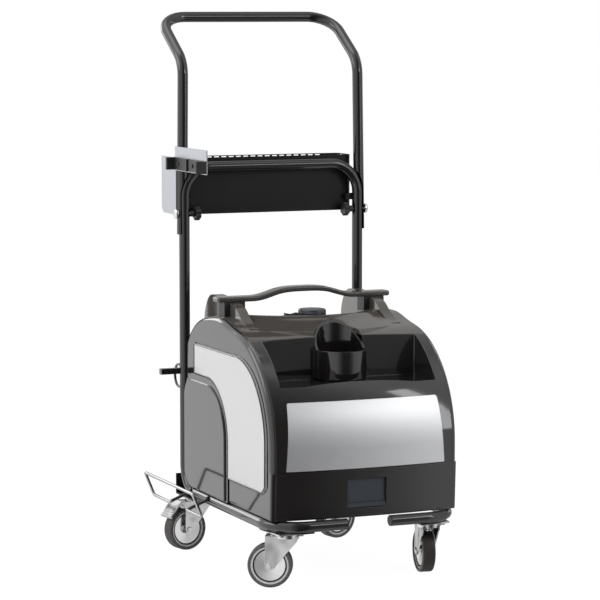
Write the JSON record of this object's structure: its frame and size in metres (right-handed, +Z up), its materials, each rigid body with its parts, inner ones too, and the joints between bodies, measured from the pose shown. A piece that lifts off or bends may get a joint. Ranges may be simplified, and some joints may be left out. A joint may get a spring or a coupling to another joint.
{
  "type": "carpet cleaner machine",
  "caption": "Steam carpet cleaner with black housing, cup tray and carry handle on a tubular trolley with swivel casters, bin and folding push handle.",
  "frame": {"origin": "on the floor, centred under the whole assembly at rest", "axes": "+X to the right of the machine seen from its front, +Y from the front towards the push handle, +Z up"},
  "size_m": [0.4494, 0.6064, 1.0176],
  "materials": {
    "black_gloss": "gloss",
    "black_matte": "satin",
    "black_paint": "gloss",
    "chrome_wire": "polished",
    "stainless": "brushed",
    "bright_bolt": "polished",
    "zinc": "satin zinc",
    "grey_rubber": "satin",
    "wheel_grey": "satin",
    "silver_plastic": "gloss",
    "brushed_panel": "brushed",
    "blue_grey": "satin",
    "tank_white": "satin",
    "boiler_steel": "brushed"
  },
  "bodies": {
    "push_handle_body": {"push_handle": "black_paint", "steel_bracket": "stainless", "tool_clip": "black_matte", "clip_screws": "bright_bolt"},
    "clamp_knob_left_body": {"clamp_knob_left": "black_matte"},
    "clamp_knob_right_body": {"clamp_knob_right": "black_matte"},
    "caster_front_left": {"caster_fork_front_left": "zinc", "caster_axle_front_left": "zinc"},
    "wheel_front_left": {"wheel_hub_front_left": "wheel_grey", "wheel_tyre_front_left": "grey_rubber"},
    "caster_front_right": {"caster_fork_front_right": "zinc", "caster_axle_front_right": "zinc"},
    "wheel_front_right": {"wheel_hub_front_right": "wheel_grey", "wheel_tyre_front_right": "grey_rubber"},
    "caster_rear_left": {"caster_fork_rear_left": "zinc", "caster_axle_rear_left": "zinc"},
    "wheel_rear_left": {"wheel_hub_rear_left": "wheel_grey", "wheel_tyre_rear_left": "grey_rubber"},
    "pedal_rear_left": {"brake_pedal_rear_left": "zinc"},
    "caster_rear_right": {"caster_fork_rear_right": "zinc", "caster_axle_rear_right": "zinc"},
    "wheel_rear_right": {"wheel_hub_rear_right": "wheel_grey", "wheel_tyre_rear_right": "grey_rubber"},
    "pedal_rear_right": {"brake_pedal_rear_right": "zinc"},
    "flap_body": {"socket_flap": "blue_grey"},
    "cap_body": {"filler_cap": "blue_grey"},
    "switch_body": {"power_switch": "black_matte"},
    "trolley": {"accessory_bin": "black_paint", "arch_cover_left": "black_gloss", "arch_cover_right": "black_gloss", "base_pan": "black_gloss", "boiler": "boiler_steel", "cable_ring": "black_paint", "carry_handle": "black_gloss", "caster_bolts": "zinc", "caster_plate_front_left": "zinc", "caster_plate_front_right": "zinc", "caster_plate_rear_left": "zinc", "caster_plate_rear_right": "zinc", "cord_gland": "black_matte", "cup_holder": "black_gloss", "deck": "black_gloss", "front_gussets": "black_paint", "front_shell": "black_gloss", "handle_posts": "black_matte", "lower_frame": "black_paint", "lower_skirt": "black_gloss", "pivot_bolts": "bright_bolt", "rear_crossbar": "black_paint", "rear_panel": "black_gloss", "rear_plate": "black_paint", "side_insert_left": "silver_plastic", "side_insert_right": "silver_plastic", "side_shell_left": "black_gloss", "side_shell_right": "black_gloss", "silver_panel": "brushed_panel", "steam_socket": "black_matte", "tube_plugs": "black_matte", "water_tank": "tank_white", "wire_cradle": "chrome_wire"}
  },
  "joints": [
    {"name": "handle_fold", "type": "hinge", "parent": "trolley", "child": "push_handle_body", "pos_m": [0.0263, 0.16075, 0.639], "axis": [1, 0, 0], "range_deg": [0, 100]},
    {"name": "clamp_turn_left", "type": "hinge", "parent": "trolley", "child": "clamp_knob_left_body", "pos_m": [-0.1287, 0.16075, 0.639], "axis": [1, 0, 0], "continuous": true},
    {"name": "clamp_turn_right", "type": "hinge", "parent": "trolley", "child": "clamp_knob_right_body", "pos_m": [0.1813, 0.16075, 0.639], "axis": [1, 0, 0], "continuous": true},
    {"name": "caster_swivel_front_left", "type": "hinge", "parent": "trolley", "child": "caster_front_left", "pos_m": [-0.1127, -0.25025, 0.09], "axis": [0, 0, 1], "continuous": true},
    {"name": "wheel_spin_front_left", "type": "hinge", "parent": "caster_front_left", "child": "wheel_front_left", "pos_m": [-0.1391, -0.236, 0.04], "axis": [0.475, 0.88, 0], "continuous": true},
    {"name": "caster_swivel_front_right", "type": "hinge", "parent": "trolley", "child": "caster_front_right", "pos_m": [0.1653, -0.25025, 0.09], "axis": [0, 0, 1], "continuous": true},
    {"name": "wheel_spin_front_right", "type": "hinge", "parent": "caster_front_right", "child": "wheel_front_right", "pos_m": [0.17055, -0.22071, 0.04], "axis": [0.9846, -0.1749, 0], "continuous": true},
    {"name": "caster_swivel_rear_left", "type": "hinge", "parent": "trolley", "child": "caster_rear_left", "pos_m": [-0.1297, 0.15175, 0.09], "axis": [0, 0, 1], "continuous": true},
    {"name": "wheel_spin_rear_left", "type": "hinge", "parent": "caster_rear_left", "child": "wheel_rear_left", "pos_m": [-0.15907, 0.1456, 0.04], "axis": [-0.205, 0.9788, 0], "continuous": true},
    {"name": "brake_press_rear_left", "type": "hinge", "parent": "caster_rear_left", "child": "pedal_rear_left", "pos_m": [-0.17375, 0.14253, 0.0877], "axis": [-0.205, 0.9788, 0], "range_deg": [-4, 0]},
    {"name": "caster_swivel_rear_right", "type": "hinge", "parent": "trolley", "child": "caster_rear_right", "pos_m": [0.1823, 0.15175, 0.09], "axis": [0, 0, 1], "continuous": true},
    {"name": "wheel_spin_rear_right", "type": "hinge", "parent": "caster_rear_right", "child": "wheel_rear_right", "pos_m": [0.15293, 0.1456, 0.04], "axis": [-0.205, 0.9788, 0], "continuous": true},
    {"name": "brake_press_rear_right", "type": "hinge", "parent": "caster_rear_right", "child": "pedal_rear_right", "pos_m": [0.13825, 0.14253, 0.0877], "axis": [-0.205, 0.9788, 0], "range_deg": [-4, 0]},
    {"name": "flap_open", "type": "hinge", "parent": "trolley", "child": "flap_body", "pos_m": [0.0263, -0.28175, 0.1905], "axis": [-1, 0, 0], "range_deg": [0, 80], "stiffness_Nm_per_rad": 0.02, "springref_deg": -20.05},
    {"name": "cap_turn", "type": "hinge", "parent": "trolley", "child": "cap_body", "pos_m": [0.0263, -0.03625, 0.46], "axis": [0, 0, 1], "continuous": true},
    {"name": "switch_rock", "type": "hinge", "parent": "trolley", "child": "switch_body", "pos_m": [-0.0157, -0.03625, 0.458], "axis": [0, 1, 0], "range_deg": [-7, 7]}
  ]
}
